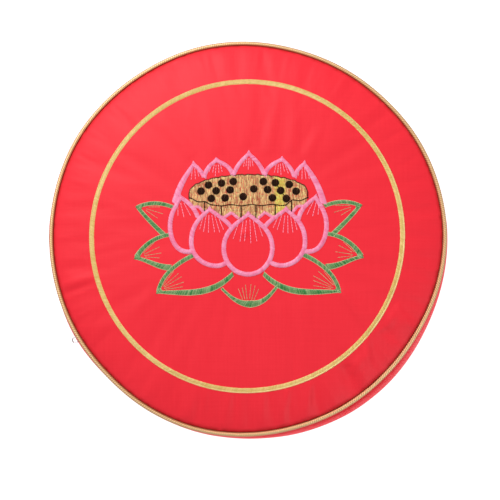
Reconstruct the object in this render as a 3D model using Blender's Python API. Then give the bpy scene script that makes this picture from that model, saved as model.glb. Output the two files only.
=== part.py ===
"""A round kneeling cushion: one filled body with a crowned top, a puffed side band and a flat underside,
twisted-cord piping set into both seams, and the small wire ring of a zip's pull beside the upper seam.

The cushion lies on its back, so the embroidered face looks up along +Z, and the top of its flower
points along +Y. The origin is the middle of the underside. Sizes are in millimetres until the last
step, which turns them into metres.
"""

from math import atan2, cos, degrees, pi, radians, sin

import bmesh
import bpy
from mathutils import Matrix, Vector

MM = 0.001

# Overall sizes
SEAM_RADIUS = 194.0
BULGE_RADIUS = 200.0
BAND_HEIGHT = 76.0
CROWN = 20.0
BELLY = 6.0
REST_RADIUS = 174.0
AROUND = 96

# Piping and the groove that it is sewn into
CORD_DIAMETER = 4.5
CORD_GAP = 0.3
CORD_SIDES_SETTING = 2
GROOVE_START_DEG = 140.0
GROOVE_END_DEG = 245.0
GROOVE_STEPS = 3

# Form of the turned section: the crown's spread and fullness shape the curve from middle to seam
CROWN_SPREAD = 2.6
CROWN_FULLNESS = 0.62
CROWN_ROWS = 12
BAND_ROWS = 8
UNDERSIDE_ROWS = 4
UNDERSIDE_CURVE = 2.2

# Zip pull
PULL_ANGLE_DEG = 211.1
PULL_REACH = 201.4
PULL_WIDTH = 6.7
PULL_LENGTH = 7.1
PULL_WIRE = 1.2
PULL_DROP = 3.7
PULL_HEADING_DEG = 197.0
PULL_ARC_STEPS = 9

# Sewing unevenness around the rim, one row every 15 degrees
RIM_COLUMNS = ("angle_deg", "seam_out", "seam_up", "bulge_out")
RIM = (
    (0, 2.2, 0.4, -2.1),
    (15, 1.6, -0.2, -1.8),
    (30, 0.8, -0.6, -1.0),
    (45, -0.8, -0.1, -0.4),
    (60, -0.9, 0.5, 0.4),
    (75, -0.8, 0.9, 1.2),
    (90, 0.7, 1.0, 2.0),
    (105, 1.7, 0.7, 2.0),
    (120, 1.3, 0.2, 1.4),
    (135, 1.7, -0.4, 1.2),
    (150, 2.3, -0.8, 1.1),
    (165, 1.1, -0.7, 0.8),
    (180, 0.2, -0.3, 1.6),
    (195, -0.4, 0.4, -0.6),
    (210, -0.7, 0.9, -0.6),
    (225, -0.9, 0.3, -3.2),
    (240, 1.0, -0.5, -3.2),
    (255, 2.1, -0.9, -3.2),
    (270, 1.4, -1.0, -2.4),
    (285, 0.3, -0.4, 0.1),
    (300, 0.0, 0.3, 1.1),
    (315, -0.8, 0.7, 0.5),
    (330, -0.8, 0.8, -1.4),
    (345, 0.9, 0.7, -1.8),
)
RIM_FADE = 60.0
LOWER_SEAM_TURN_DEG = 135.0

# Soft radial folds where the seam draws the top panel in: below zero is a trough, above it a ridge
FOLD_COLUMNS = ("angle_deg", "width_deg", "height", "length")
FOLDS = (
    (43, 9, 0.8, 34),
    (64, 8, -0.7, 26),
    (98, 9, -0.8, 30),
    (131, 8, -0.6, 24),
    (163, 9, 0.6, 28),
    (195, 7, 0.9, 36),
    (203, 7, -0.9, 30),
    (226, 9, -0.6, 26),
    (252, 8, 0.9, 34),
    (267, 7, -0.8, 30),
    (282, 6, 1.1, 44),
    (287, 6, -0.9, 40),
    (293, 6, 0.9, 38),
    (303, 8, -1.0, 40),
    (314, 9, 1.3, 46),
    (325, 8, -1.1, 38),
    (334, 8, 0.9, 36),
    (352, 9, -0.7, 28),
    (17, 9, -0.6, 26),
)
FOLD_RISE = 0.6

# Places worked out from the sizes above
LOWER_SEAM_Z = BELLY
UPPER_SEAM_Z = BELLY + BAND_HEIGHT
TOP_Z = BELLY + BAND_HEIGHT + CROWN
CORD_RADIUS = CORD_DIAMETER / 2
GROOVE_STEP_DEG = (GROOVE_END_DEG - GROOVE_START_DEG) / GROOVE_STEPS
GROOVE_RADIUS = (CORD_RADIUS + CORD_GAP) / cos(radians(GROOVE_STEP_DEG / 2))

# Colours as linear values, with roughness and metallic
FINISH_COLUMNS = ("name", "colour", "roughness", "metallic")
FINISHES = (
    ("red_satin", (0.91, 0.045, 0.065), 0.42, 0.0),
    ("gold_cord", (0.76, 0.45, 0.17), 0.45, 0.0),
    ("nickel_wire", (0.46, 0.40, 0.42), 0.3, 1.0),
)


def named_rows(columns, rows):
    return [dict(zip(columns, row)) for row in rows]


RIM_ROWS = named_rows(RIM_COLUMNS, RIM)
FOLD_ROWS = named_rows(FOLD_COLUMNS, FOLDS)


def smooth_step(share):
    share = min(max(share, 0.0), 1.0)
    return share * share * (3.0 - 2.0 * share)


def rim_value(column, angle_deg):
    """Read one column of the rim table at any angle, on a smooth closed curve through its rows."""
    count = len(RIM_ROWS)
    place = (angle_deg % 360.0) / (360.0 / count)
    first = int(place)
    share = place - first
    before, start, end, after = (RIM_ROWS[(first + step) % count][column] for step in (-1, 0, 1, 2))
    bend = 2.0 * before - 5.0 * start + 4.0 * end - after
    twist = 3.0 * (start - end) + after - before
    return start + 0.5 * share * (end - before + share * (bend + share * twist))


def fold_height(angle_deg, radius):
    """Height that the radial folds add to the top panel, fading inwards from its edge."""
    from_edge = max(0.0, groove_point(UPPER_SEAM_Z, GROOVE_START_DEG, 1)[0] - radius)
    total = 0.0
    for row in FOLD_ROWS:
        turn = (angle_deg - row["angle_deg"] + 180.0) % 360.0 - 180.0
        across = abs(turn) / (row["width_deg"] / 2)
        along = from_edge / row["length"]
        if across < 1.0 and along < 1.0:
            ridge = 0.5 + 0.5 * cos(pi * across)
            total += row["height"] * ridge * sin(pi * along ** FOLD_RISE)
    return total


def crown_points():
    """The top panel's section, from its middle out to the upper seam's groove."""
    edge = groove_point(UPPER_SEAM_Z, GROOVE_START_DEG, 1)
    points = []
    for row in range(CROWN_ROWS):
        share = sin(radians(90.0 * row / CROWN_ROWS))
        height = (1.0 - share ** CROWN_SPREAD) ** CROWN_FULLNESS
        points.append((share * edge[0], edge[1] + (TOP_Z - edge[1]) * height))
    return points


def groove_point(seam_z, angle_deg, side):
    """A point of the groove around a cord; side is 1 at the upper seam and -1 at the lower one."""
    angle = radians(angle_deg)
    return (SEAM_RADIUS + GROOVE_RADIUS * cos(angle), seam_z + side * GROOVE_RADIUS * sin(angle))


def groove_points(seam_z, side):
    angles = [GROOVE_START_DEG + GROOVE_STEP_DEG * step for step in range(GROOVE_STEPS + 1)]
    return [groove_point(seam_z, angle, side) for angle in angles]


def band_points():
    """The side band's section between the two grooves, fullest at half height."""
    top = groove_point(UPPER_SEAM_Z, GROOVE_END_DEG, 1)
    bottom = groove_point(LOWER_SEAM_Z, GROOVE_END_DEG, -1)
    middle_z = (top[1] + bottom[1]) / 2
    half = (top[1] - bottom[1]) / 2
    points = []
    for row in range(1, BAND_ROWS):
        angle = radians(90.0 - 180.0 * row / BAND_ROWS)
        points.append((top[0] + (BULGE_RADIUS - top[0]) * cos(angle), middle_z + half * sin(angle)))
    return points


def band_fullness(height):
    """How full the band is at a height: 1 midway between its grooves, 0 at them and beyond."""
    top = groove_point(UPPER_SEAM_Z, GROOVE_END_DEG, 1)
    bottom = groove_point(LOWER_SEAM_Z, GROOVE_END_DEG, -1)
    share = (2.0 * height - top[1] - bottom[1]) / (top[1] - bottom[1])
    return max(0.0, 1.0 - share ** 2) ** 0.5


def underside_points():
    """The under panel's section, from the lower groove in to the flat that rests on the floor."""
    edge = groove_point(LOWER_SEAM_Z, GROOVE_START_DEG, -1)
    points = []
    for row in range(1, UNDERSIDE_ROWS + 1):
        share = 1.0 - row / UNDERSIDE_ROWS
        points.append((REST_RADIUS + (edge[0] - REST_RADIUS) * share, edge[1] * share ** UNDERSIDE_CURVE))
    return points + [(0.0, 0.0)]


def seam_shift(angle_deg, side):
    """How far a seam is sewn off its circle, outwards and upwards; the lower one lies level."""
    if side > 0:
        return rim_value("seam_out", angle_deg), rim_value("seam_up", angle_deg)
    return rim_value("seam_out", angle_deg + LOWER_SEAM_TURN_DEG), 0.0


def made_uneven(point):
    """Move a point of the plain turned body to where the uneven sewing puts it."""
    radius = point.xy.length
    if radius < REST_RADIUS - RIM_FADE:
        return point
    angle_deg = degrees(atan2(point.y, point.x))
    reach = smooth_step(1.0 - (SEAM_RADIUS - radius) / RIM_FADE)
    up_share = smooth_step((point.z - LOWER_SEAM_Z) / BAND_HEIGHT)
    upper_out, upper_up = seam_shift(angle_deg, 1)
    lower_out, lower_up = seam_shift(angle_deg, -1)
    out = reach * (up_share * upper_out + (1.0 - up_share) * lower_out)
    lift = reach * (up_share * upper_up + (1.0 - up_share) * lower_up)
    out += rim_value("bulge_out", angle_deg) * band_fullness(point.z)
    if point.z > UPPER_SEAM_Z:
        lift += fold_height(angle_deg, radius)
    return Vector((*(point.xy * ((radius + out) / radius)), point.z + lift))


def make_material(name):
    finish = next(row for row in named_rows(FINISH_COLUMNS, FINISHES) if row["name"] == name)
    material = bpy.data.materials.new(name)
    material.use_nodes = True
    shader = material.node_tree.nodes["Principled BSDF"]
    shader.inputs["Base Color"].default_value = (*finish["colour"], 1.0)
    shader.inputs["Roughness"].default_value = finish["roughness"]
    shader.inputs["Metallic"].default_value = finish["metallic"]
    return material


def add_object(name, data, material):
    data.materials.append(material)
    made = bpy.data.objects.new(name, data)
    bpy.context.scene.collection.objects.link(made)
    return made


def make_cushion(material):
    """The filled body: one closed section turned about +Z, then sewn unevenly."""
    upper = groove_points(UPPER_SEAM_Z, 1)
    lower = list(reversed(groove_points(LOWER_SEAM_Z, -1)))
    section = crown_points() + upper + band_points() + lower + underside_points()
    body = bmesh.new()
    corners = [body.verts.new((radius, 0.0, height)) for radius, height in section]
    edges = [body.edges.new(pair) for pair in zip(corners, corners[1:])]
    bmesh.ops.spin(
        body,
        geom=corners + edges,
        axis=(0.0, 0.0, 1.0),
        cent=(0.0, 0.0, 0.0),
        angle=2 * pi,
        steps=AROUND,
        use_merge=True,
    )
    bmesh.ops.remove_doubles(body, verts=body.verts, dist=0.001)
    for corner in body.verts:
        corner.co = made_uneven(corner.co)
    bmesh.ops.scale(body, verts=body.verts, vec=(MM, MM, MM))
    bmesh.ops.recalc_face_normals(body, faces=body.faces)
    data = bpy.data.meshes.new("cushion")
    body.to_mesh(data)
    body.free()
    data.shade_smooth()
    return add_object("cushion", data, material)


def make_wire(name, points, diameter, material):
    """A closed round cord or wire through the given points, in millimetres."""
    data = bpy.data.curves.new(name, "CURVE")
    data.dimensions = "3D"
    data.bevel_depth = diameter / 2 * MM
    data.bevel_resolution = CORD_SIDES_SETTING
    spline = data.splines.new("POLY")
    spline.points.add(len(points) - 1)
    for place, point in zip(spline.points, points):
        place.co = (*(point * MM), 1.0)
    spline.use_cyclic_u = True
    return add_object(name, data, material)


def make_piping(name, seam_z, side, material):
    """A cord ring lying in a seam's groove, following the same unevenness as the seam."""
    points = []
    for step in range(AROUND):
        angle_deg = 360.0 * step / AROUND
        out, lift = seam_shift(angle_deg, side)
        reach = SEAM_RADIUS + out
        angle = radians(angle_deg)
        points.append(Vector((reach * cos(angle), reach * sin(angle), seam_z + lift)))
    return make_wire(name, points, CORD_DIAMETER, material)


def make_pull(material):
    """The zip pull's small oval wire ring, lying level in the crevice under the upper piping."""
    arc_radius = (PULL_WIDTH - PULL_WIRE) / 2
    straight = PULL_LENGTH - PULL_WIDTH
    outer_arc = PULL_REACH - PULL_WIDTH / 2
    angle = radians(PULL_ANGLE_DEG)
    centre = Vector((outer_arc * cos(angle), outer_arc * sin(angle), UPPER_SEAM_Z - PULL_DROP))
    turn = Matrix.Rotation(radians(PULL_HEADING_DEG), 3, "Z")
    points = []
    for shift, start_deg in ((0.0, -90.0), (-straight, 90.0)):
        for step in range(PULL_ARC_STEPS + 1):
            along = radians(start_deg + 180.0 * step / PULL_ARC_STEPS)
            local = Vector((shift + arc_radius * cos(along), arc_radius * sin(along), 0.0))
            points.append(centre + turn @ local)
    return make_wire("pull_ring", points, PULL_WIRE, material)


def main():
    for old in list(bpy.data.objects):
        bpy.data.objects.remove(old)
    satin = make_material("red_satin")
    cord = make_material("gold_cord")
    nickel = make_material("nickel_wire")
    make_cushion(satin)
    make_piping("top_piping", UPPER_SEAM_Z, 1, cord)
    make_piping("bottom_piping", LOWER_SEAM_Z, -1, cord)
    make_pull(nickel)


main()
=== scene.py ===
"""The looks of a round embroidered cushion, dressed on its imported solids.

A sewn cover with its folds, twisted-cord piping in both seams, a wire pull, and an embroidered ring and
lotus made of single raised stitches. Tables and sizes are in millimetres; meshes are made in metres.
The flower has a frame of its own: x to its right and y to its top, from its own middle.
"""

import random
from math import atan2, ceil, cos, degrees, hypot, pi, radians, sin

import bmesh
import bpy
from mathutils import Matrix, Vector
from mathutils.bvhtree import BVHTree


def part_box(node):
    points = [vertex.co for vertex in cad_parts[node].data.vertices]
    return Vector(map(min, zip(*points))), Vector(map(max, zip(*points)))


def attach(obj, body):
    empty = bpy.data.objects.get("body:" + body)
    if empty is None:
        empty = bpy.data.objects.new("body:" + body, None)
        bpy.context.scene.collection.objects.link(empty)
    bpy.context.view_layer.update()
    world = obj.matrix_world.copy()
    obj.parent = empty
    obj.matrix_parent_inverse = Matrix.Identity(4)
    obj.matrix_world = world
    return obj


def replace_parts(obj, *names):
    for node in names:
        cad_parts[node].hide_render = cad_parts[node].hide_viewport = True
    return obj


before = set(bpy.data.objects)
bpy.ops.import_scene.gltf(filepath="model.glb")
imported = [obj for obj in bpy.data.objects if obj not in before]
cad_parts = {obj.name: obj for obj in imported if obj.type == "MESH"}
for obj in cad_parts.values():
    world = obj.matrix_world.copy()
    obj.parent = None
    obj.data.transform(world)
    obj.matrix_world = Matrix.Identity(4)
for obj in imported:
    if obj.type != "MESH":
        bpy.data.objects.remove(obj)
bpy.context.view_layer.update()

MM = 0.001
ROOT = "root"
SEED = 7
BOTH_SIDES = (1.0, -1.0)

# Camera: the photo's view, tilted so that the side band shows at the lower right
CAMERA_TILT_DEG = 8.0
CAMERA_TOWARDS_DEG = -68.0
CAMERA_DISTANCE = 1583.0
CAMERA_LENS_MM = 115.0
CAMERA_SENSOR_MM = 36.0
CAMERA_OVER = (0.0, 0.0, 82.0)
CAMERA_AIM = (4.1, -14.0, 82.0)

# Light: name, place and size in metres, power, and whether only gloss shows it
WORLD_LIGHT = 0.45
LIGHTS = (
    ("key", (-0.8, 1.5, 1.9), 1.3, 46.0, False),
    ("fill", (1.6, -1.1, 1.6), 1.8, 10.0, False),
    ("sparkle", (1.3, -1.3, 1.5), 0.9, 8.0, True),
    ("sheen", (-1.3, 0.8, 1.9), 2.0, 15.0, True),
)

# The lower right, where the band shows most and the cord's inner side has painted shade
LOW_SIDE_DEG = -45.0

# How many places around the cushion the uneven seams are read at
RING_STATIONS = 96

# Cover: the turned section
CROWN_SPREAD = 2.6
CROWN_FULLNESS = 0.62
GRID_CELLS = 72
GRID_RADIUS = 150.0
RIM_ROWS = 14
RIM_CLOSENESS = 1.25
BAND_ROWS = 14
BAND_PROUD = 1.2
REST_RADIUS = 174.0
UNDERSIDE_RADII = (190.2, 187.0, 183.0, 178.5, 174.0, 162.0, 150.0)
UNDERSIDE_CURVE = 2.2
GROOVE_RADIUS = 2.5
GROOVE_START_DEG = 150.0
GROOVE_END_DEG = 250.0
GROOVE_ROWS = 4
RIM_FADE = 60.0

# How much painted shade darkens the cloth on the panel's last row, in the groove and on the band's first
# rows
PANEL_LIP_SHADE = 0.55
GROOVE_SHADE = 0.8
BAND_LIP_SHADES = (0.9, 0.7, 0.2)
# The painted shade in the seams is patchy along the rim, as shade in small puckers would be
PUCKER_COUNT = 110
PUCKER_LEAST = 0.75
PUCKER_STRENGTH = 0.9

# Cloth: how far out, in and up from the upper cord it is held, and how it settles
HELD_OUT = 0.8
HELD_IN = 4.5
HELD_UP = GROOVE_RADIUS + 1.2
CLOTH_FRAMES = 20
CLOTH_CAP = 4.0
WRINKLE_STRENGTH = 0.35
CLOTH_SETTINGS = {
    "quality": 6,
    "mass": 0.25,
    "tension_stiffness": 30.0,
    "compression_stiffness": 30.0,
    "shear_stiffness": 10.0,
    "bending_stiffness": 0.6,
    "use_pressure": True,
    "uniform_pressure_force": 4.0,
    "shrink_min": -0.012,
}

# Small gathers where the band is drawn in under each piping, and finer ripples of the panel's rim
GATHER_COUNT = 150
GATHER_HEIGHT = 0.55
GATHER_REACH = 17.0
RIPPLE_COUNT = 110
RIPPLE_HEIGHT = 0.28
RIPPLE_REACH = 30.0
WAVE_LAYERS = 3

# Piping
CORD_SIDES = 16
CORD_RIB_PITCH = 2.2
CORD_STEPS_PER_RIB = 6
CORD_STRANDS = 3
CORD_GROOVE = 0.13
CORD_ROUNDNESS = 0.7

# Pull
WIRE_STEPS = 48
WIRE_SIDES = 16
WIRE_START = 3.0

# Soft folds in the top panel: x and y of the start, heading in degrees, length, width and height
FOLD_RUN_UP = 6.0
FOLD_LEAN = 0.55
FOLDS = (
    (37, -186, 101, 60, 9, 1.2),
    (44, -184, 97, 48, 7, -1.0),
    (60, -180, 98, 58, 9, 1.2),
    (72, -175, 104, 44, 8, -1.0),
    (88, -168, 112, 40, 9, 0.9),
    (106, -157, 110, 46, 14, -1.3),
    (122, -144, 118, 52, 16, 1.7),
    (136, -130, 128, 44, 10, -1.2),
    (150, -114, 140, 38, 9, 0.9),
    (163, -92, 152, 46, 12, 1.2),
    (174, -70, 158, 34, 9, -0.9),
    (182, -38, 170, 30, 9, 0.4),
    (184, 22, 186, 30, 10, -0.5),
    (160, 96, 214, 34, 9, 0.6),
    (134, 132, 226, 44, 12, 0.8),
    (108, 154, 234, 32, 8, -0.5),
    (60, 178, 252, 34, 9, 0.4),
    (20, 187, 262, 38, 9, -0.5),
    (-24, 186, 278, 36, 9, 0.5),
    (-70, 174, 294, 34, 9, -0.5),
    (-112, 150, 308, 36, 10, 0.4),
    (-150, 112, 322, 34, 9, -0.4),
    (-177, 62, 340, 32, 9, 0.4),
    (-182, -34, 10, 34, 8, -0.5),
    (-178, -48, 14, 42, 7, 1.0),
    (-176, -56, 18, 34, 6, -0.8),
    (-150, -110, 38, 34, 9, -0.5),
    (-96, -160, 62, 38, 9, 0.5),
    (-58, -178, 66, 46, 9, 0.9),
    (-48, -181, 78, 34, 8, -0.7),
    (-20, -187, 84, 40, 8, 0.5),
    (4, -188, 90, 42, 8, -0.6),
    (18, -187, 95, 46, 8, 0.6),
    (-28, 84, 100, 62, 12, 0.5),
    (2, 92, 88, 52, 11, 0.5),
    (24, 84, 86, 66, 10, 0.6),
    (46, 84, 84, 60, 10, 0.6),
    (62, 80, 66, 52, 9, 0.6),
    (-56, 80, 124, 56, 10, 0.4),
    (93, -58, -50, 66, 11, 1.1),
    (88, -60, -60, 44, 9, -0.5),
    (-112, -20, 186, 40, 9, 0.4),
    (36, -72, -84, 74, 10, 0.5),
    (56, -72, -80, 70, 9, 0.5),
    (-92, -60, 226, 50, 10, 0.4),
    (97, -60, -63, 32, 5, 0.8),
    (119, -106, -87, 28, 6, 1.7),
    (150, -74, -60, 28, 5, 1.2),
    (41, -156, -95, 26, 5, 1.5),
    (63, -151, -93, 24, 5, 1.3),
    (-15, -158, -96, 22, 5, 1.0),
    (-39, -156, -96, 22, 5, 0.9),
    (18, -160, -92, 22, 5, 0.9),
    (136, -100, -60, 24, 12, -1.5),
    (100, -134, -80, 26, 12, -1.6),
    (106, -132, 50, 26, 8, 1.0),
    (140, -88, 58, 22, 7, 0.9),
)

# Thread colours, from the darker to the lighter end of each dye
RING_DYE = ((0.68, 0.45, 0.08), (1.0, 0.78, 0.36))
LEAF_DYE = ((0.004, 0.21, 0.03), (0.62, 0.70, 0.36))
PETAL_DYE = ((0.90, 0.10, 0.28), (1.0, 0.52, 0.72))
SEED_DYE = ((0.012, 0.004, 0.002), (0.08, 0.024, 0.009))
POD_DYE = ((0.42, 0.09, 0.02), (1.0, 0.78, 0.32))
YELLOW_DYE = ((0.66, 0.48, 0.05), (0.92, 0.86, 0.18))
YELLOW_X = 34.5

# Stitches
THREAD_PITCH = 0.42
THREAD_WIDTH = 0.5
THREAD_HEIGHT = 0.4
STITCH_SLANT_DEG = 24.0
STITCH_SHOULDER = 0.43
# Uneven dye: how often the thread's tone changes from one stitch to the next, and by how much
STREAK_CHANCE = 0.28
STREAK_STRENGTH = 0.3
FLECKS = 0.2
CALM_STREAKS = 0.3
DASH_FLECKS = 0.15
# How far the half length of a satin or a running stitch varies, and the ends of the pod's stitches
SATIN_EDGE_UNEVENNESS = 0.15
DASH_UNEVENNESS = 0.2
POD_UNEVENNESS = 0.3

# Embroidery: where the flower's own middle and the ring lie on the panel
FLOWER_SHIFT = (3.4, -2.8)
RING_CENTRE = (1.1, -0.1)
RING_RADIUS = 153.0
RING_WIDTH = 5.0
RING_EDGE_WIDTH = 1.4
RING_EDGE_LIFT = 0.12
RING_STEPS = 360

# Petals: widths of their outlines, how high these lie, and how much of a width hides what is behind
OUTLINE_WIDTH = 4.6
TIP_WIDTH = 3.4
TIP_REACH = 1.6
PEAK_WIDTH = 3.0
CURVE_PULL = 0.39
CURVE_STEPS = 24
PETAL_SHADE = 0.5
FRONT_LIFT = 0.25
FRONT_TIP_LIFT = 0.3
BACK_LIFT = 0.15
BACK_TIP_LIFT = 0.2
HIDING_SHARE = 0.32

# Front petals: rank, tip, the slopes of its sides there, the widest places' left, right and y, and the foot
FRONT_PETALS = (
    (0, (0.0, 21.5), 54, 54, -24.0, 23.5, -12.0, (0.0, -37.5)),
    (1, (-38.0, 26.5), 54, 56, -56.0, -12.5, -5.5, (-31.0, -29.0)),
    (1, (37.0, 26.0), 56, 54, 11.5, 55.5, -6.0, (32.5, -29.0)),
    (2, (-66.5, 39.0), 30, 56, -77.0, -48.5, 10.5, (-59.0, -15.0)),
    (2, (66.0, 38.0), 56, 30, 48.5, 76.5, 10.5, (58.5, -15.5)),
)

# Back petals: tip, the slopes of its two sides there, each side's start and lean, and their two widths
BACK_PETALS = (
    ((0.5, 82.0), 48, 48, (-15.0, 60.5), 22, (16.0, 60.5), 20, 4.4, 4.4),
    ((-31.5, 75.5), 60, 68, (-43.5, 58.5), 12, (-15.0, 60.0), 14, 4.2, 4.4),
    ((33.0, 76.0), 66, 52, (16.0, 59.5), 12, (45.5, 58.0), 18, 4.4, 4.2),
    ((-54.0, 72.0), 34, 50, (-72.5, 32.5), 12, (-43.5, 58.5), 24, 6.4, 4.2),
    ((55.0, 71.5), 54, 35, (45.5, 58.0), 16, (74.0, 31.5), 14, 4.2, 6.4),
)

# Peaks of the petals that stand behind the front ones: start, tip and end, and bare satin below
PEAKS = (
    ((-24.0, 18.5), (-16.5, 23.5), (-9.5, 17.5)),
    ((-53.5, 29.5), (-48.5, 29.5), (-42.0, 22.0)),
)
PEAK_DEPTH = 20.0

# Leaves, as curved strokes on one or both sides: start, leaving direction and pull, end, arriving direction
# and pull, and widths
LEAF_STROKES = (
    (2, (-74.5, 29.5), 158, 13, (-109.5, 30.0), 203, 13, 3.6, 4.0, 3.6),
    (2, (-109.0, 29.5), 308, 12, (-82.5, 1.5), 316, 10, 3.4, 4.2, 4.8),
    (2, (-77.5, 2.0), 186, 13, (-110.5, -20.5), 241, 15, 3.8, 4.2, 5.2),
    (2, (-110.5, -20.5), 348, 14, (-76.5, -30.5), 356, 14, 3.0, 4.6, 6.2),
    (2, (-52.0, -17.5), 205, 22, (-88.5, -54.5), 258, 17, 4.4, 4.0, 3.8),
    (2, (-88.5, -54.5), 0, 28, (-15.0, -37.0), 46, 32, 2.4, 6.0, 4.0),
    (1, (-26.0, -51.0), 315, 11, (1.5, -66.5), 0, 12, 2.6, 3.8, 7.0),
    (1, (1.5, -66.5), 0, 13, (28.5, -49.0), 52, 13, 7.0, 4.2, 2.8),
)
LEAF_STEPS = 32
LEAF_SHADE = 0.2
LEAF_FLECKS = 0.38
LEAF_EDGE_INSET = 0.2

# Leaf tips: where each is and which way it points, and its width at distances along that way
LEAF_TIPS = (((-109.5, 30.0), 166), ((-110.5, -20.5), 204), ((-88.5, -54.5), 219))
LEAF_TIP_WIDTHS = ((-4.5, 6.2), (0.0, 4.0), (2.2, 0.5))
LEAF_TIP_LIFT = 0.1

# Lotus pod: a lidded cup whose front wall stands behind the front petals
POD_HALF_WIDTH = 58.3
POD_MIDDLE_Y = 43.5
POD_BACK = 17.6
POD_RIM_END_Y = 37.6
POD_WALL_SAG = 25.0
POD_STITCH = 5.2
POD_LEAST_STITCH = 0.8
POD_PITCH = 0.78
POD_THREAD = POD_PITCH * 1.15
POD_BARS_X = (-43.0, -26.5, -7.0, 7.5, 26.5, 42.5)
POD_BAR_WIDTH = 1.1
POD_BAR_SHADE = 0.3
POD_EDGE_WAVE = 0.35
POD_RIM_WAVE = 0.6
POD_RIM_WAVELENGTH = 20.0
POD_LINE_STEPS = 120
# The rim's two soft steps down from each end: where one starts, how long and how deep it is
POD_RIM_STEPS = ((58.0, 9.0, 2.7), (44.0, 8.0, 4.2))
SEED_DIAMETER = 7.5
SEED_HEIGHT = 0.55
BAR_AND_SEED_LIFT = 0.4
SEEDS = (
    (-46.5, 45.0), (-39.2, 51.0), (-31.6, 45.2), (-26.3, 52.8), (-18.0, 46.0), (-14.8, 54.3),
    (-36.4, 37.6), (-22.8, 38.0), (-5.0, 39.2), (5.4, 46.8), (14.8, 54.0), (19.0, 46.0),
    (23.8, 37.8), (26.6, 52.8), (31.8, 45.0), (37.3, 37.0), (40.2, 51.0), (47.0, 44.2),
)
LINKED_SEEDS = (13, 14, 15)

# Running threads, each stitched in single dashes
PETAL_VEIN = {"dash": 2.6, "gap": 0.35, "shade": 0.85, "width": 0.58, "height": 0.35}
LEAF_VEIN = {"dash": 2.6, "gap": 0.35, "shade": 0.65, "width": 0.5, "height": 0.35}
LEAF_EDGE = {"dash": 2.4, "gap": 0.1, "shade": 1.0, "width": 0.6, "height": 0.4, "lift": 0.12}
POD_RIM_LINE = {"dash": 2.0, "gap": 0.0, "shade": 0.4, "width": 1.1, "height": 0.5, "lift": 0.35}
POD_BACK_LINE = {"dash": 2.0, "gap": 0.0, "shade": 0.8, "width": 1.1, "height": 0.45, "lift": 0.15}
SEED_LINK = {"dash": 2.0, "gap": 0.0, "shade": 0.5, "width": 0.9, "height": 0.4, "lift": 0.4}

# Fans of fine running stitches: thread, tip, heading and spread in degrees, lines, length, width at the tip
FANS = (
    (PETAL_VEIN, (0.0, 20.5), 270, 34, 6, 29.0, 7.0),
    (PETAL_VEIN, (-37.5, 25.0), 274, 40, 6, 24.0, 5.5),
    (PETAL_VEIN, (-66.0, 36.0), 290, 36, 4, 18.0, 3.5),
    (PETAL_VEIN, (0.0, 80.0), 270, 14, 5, 13.0, 3.0),
    (PETAL_VEIN, (-31.5, 74.0), 266, 30, 5, 14.0, 3.5),
    (PETAL_VEIN, (-54.0, 70.0), 269, 24, 4, 15.0, 3.0),
    (LEAF_VEIN, (-103.0, 29.0), 343, 32, 3, 20.0, 1.0),
    (LEAF_VEIN, (-105.0, -18.5), 18, 48, 4, 22.0, 1.0),
    (LEAF_VEIN, (-85.5, -51.5), 31, 46, 5, 26.0, 1.0),
    (LEAF_VEIN, (0.0, -64.5), 90, 44, 6, 18.0, 4.6),
)


def smooth_step(share):
    share = min(max(share, 0.0), 1.0)
    return share * share * (3.0 - 2.0 * share)


def onward(place, angle, reach):
    """The place that lies some way off in a direction."""
    return (place[0] + reach * cos(angle), place[1] + reach * sin(angle))


def low_side_share(angle_deg):
    """1 at the cushion's lower right, falling to 0 on its far side."""
    return 0.5 + 0.5 * cos(radians(angle_deg - LOW_SIDE_DEG))


# Materials


class Graph:
    """A material's node tree, with short ways to add and join its nodes."""

    def __init__(self, name):
        self.material = bpy.data.materials.new(name)
        self.material.use_nodes = True
        self.nodes = self.material.node_tree.nodes
        self.links = self.material.node_tree.links
        self.shader = self.nodes["Principled BSDF"]

    def put(self, socket, value):
        """Join an output to a socket, or give it a value; colours come without their alpha."""
        if isinstance(value, bpy.types.NodeSocket):
            self.links.new(value, socket)
        else:
            socket.default_value = (*value, 1.0) if socket.type == "RGBA" else value

    def add(self, kind, output, settings=None, **inputs):
        node = self.nodes.new(kind)
        for key, value in (settings or {}).items():
            setattr(node, key, value)
        for key, value in inputs.items():
            self.put(node.inputs[key.replace("_", " ")], value)
        return node.outputs[output]

    def finish(self, **inputs):
        for key, value in inputs.items():
            self.put(self.shader.inputs[key.replace("_", " ")], value)
        return self.material

    def place(self, source="Object"):
        return self.add("ShaderNodeTexCoord", source)

    def attribute(self, name):
        return self.add("ShaderNodeAttribute", "Fac", {"attribute_name": name})

    def noise(self, vector, scale, detail=2.0, stretch=(1.0, 1.0, 1.0)):
        mapped = self.add("ShaderNodeMapping", "Vector", Vector=vector, Scale=stretch)
        return self.add("ShaderNodeTexNoise", "Fac", Vector=mapped, Scale=scale, Detail=detail)

    def crossed(self, cloth, along, across, detail):
        """The noise of threads that cross at right angles."""
        weft = self.noise(cloth, 1.0, detail, (along, across, 1.0))
        warp = self.noise(cloth, 1.0, detail, (across, along, 1.0))
        return self.math("ADD", weft, warp)

    def math(self, operation, first, second):
        node = self.nodes.new("ShaderNodeMath")
        node.operation = operation
        self.put(node.inputs[0], first)
        self.put(node.inputs[1], second)
        return node.outputs[0]

    def between(self, factor, low, high):
        """Stretch the middle of a noise's range over 0 to 1."""
        return self.add("ShaderNodeMapRange", "Result", Value=factor, From_Min=low, From_Max=high)

    def mix(self, factor, first, second):
        return self.add("ShaderNodeMix", "Result", {"data_type": "RGBA"}, Factor=factor, A=first, B=second)

    def bump(self, height, strength, distance):
        return self.add("ShaderNodeBump", "Normal", Height=height, Strength=strength, Distance=distance)


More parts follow.
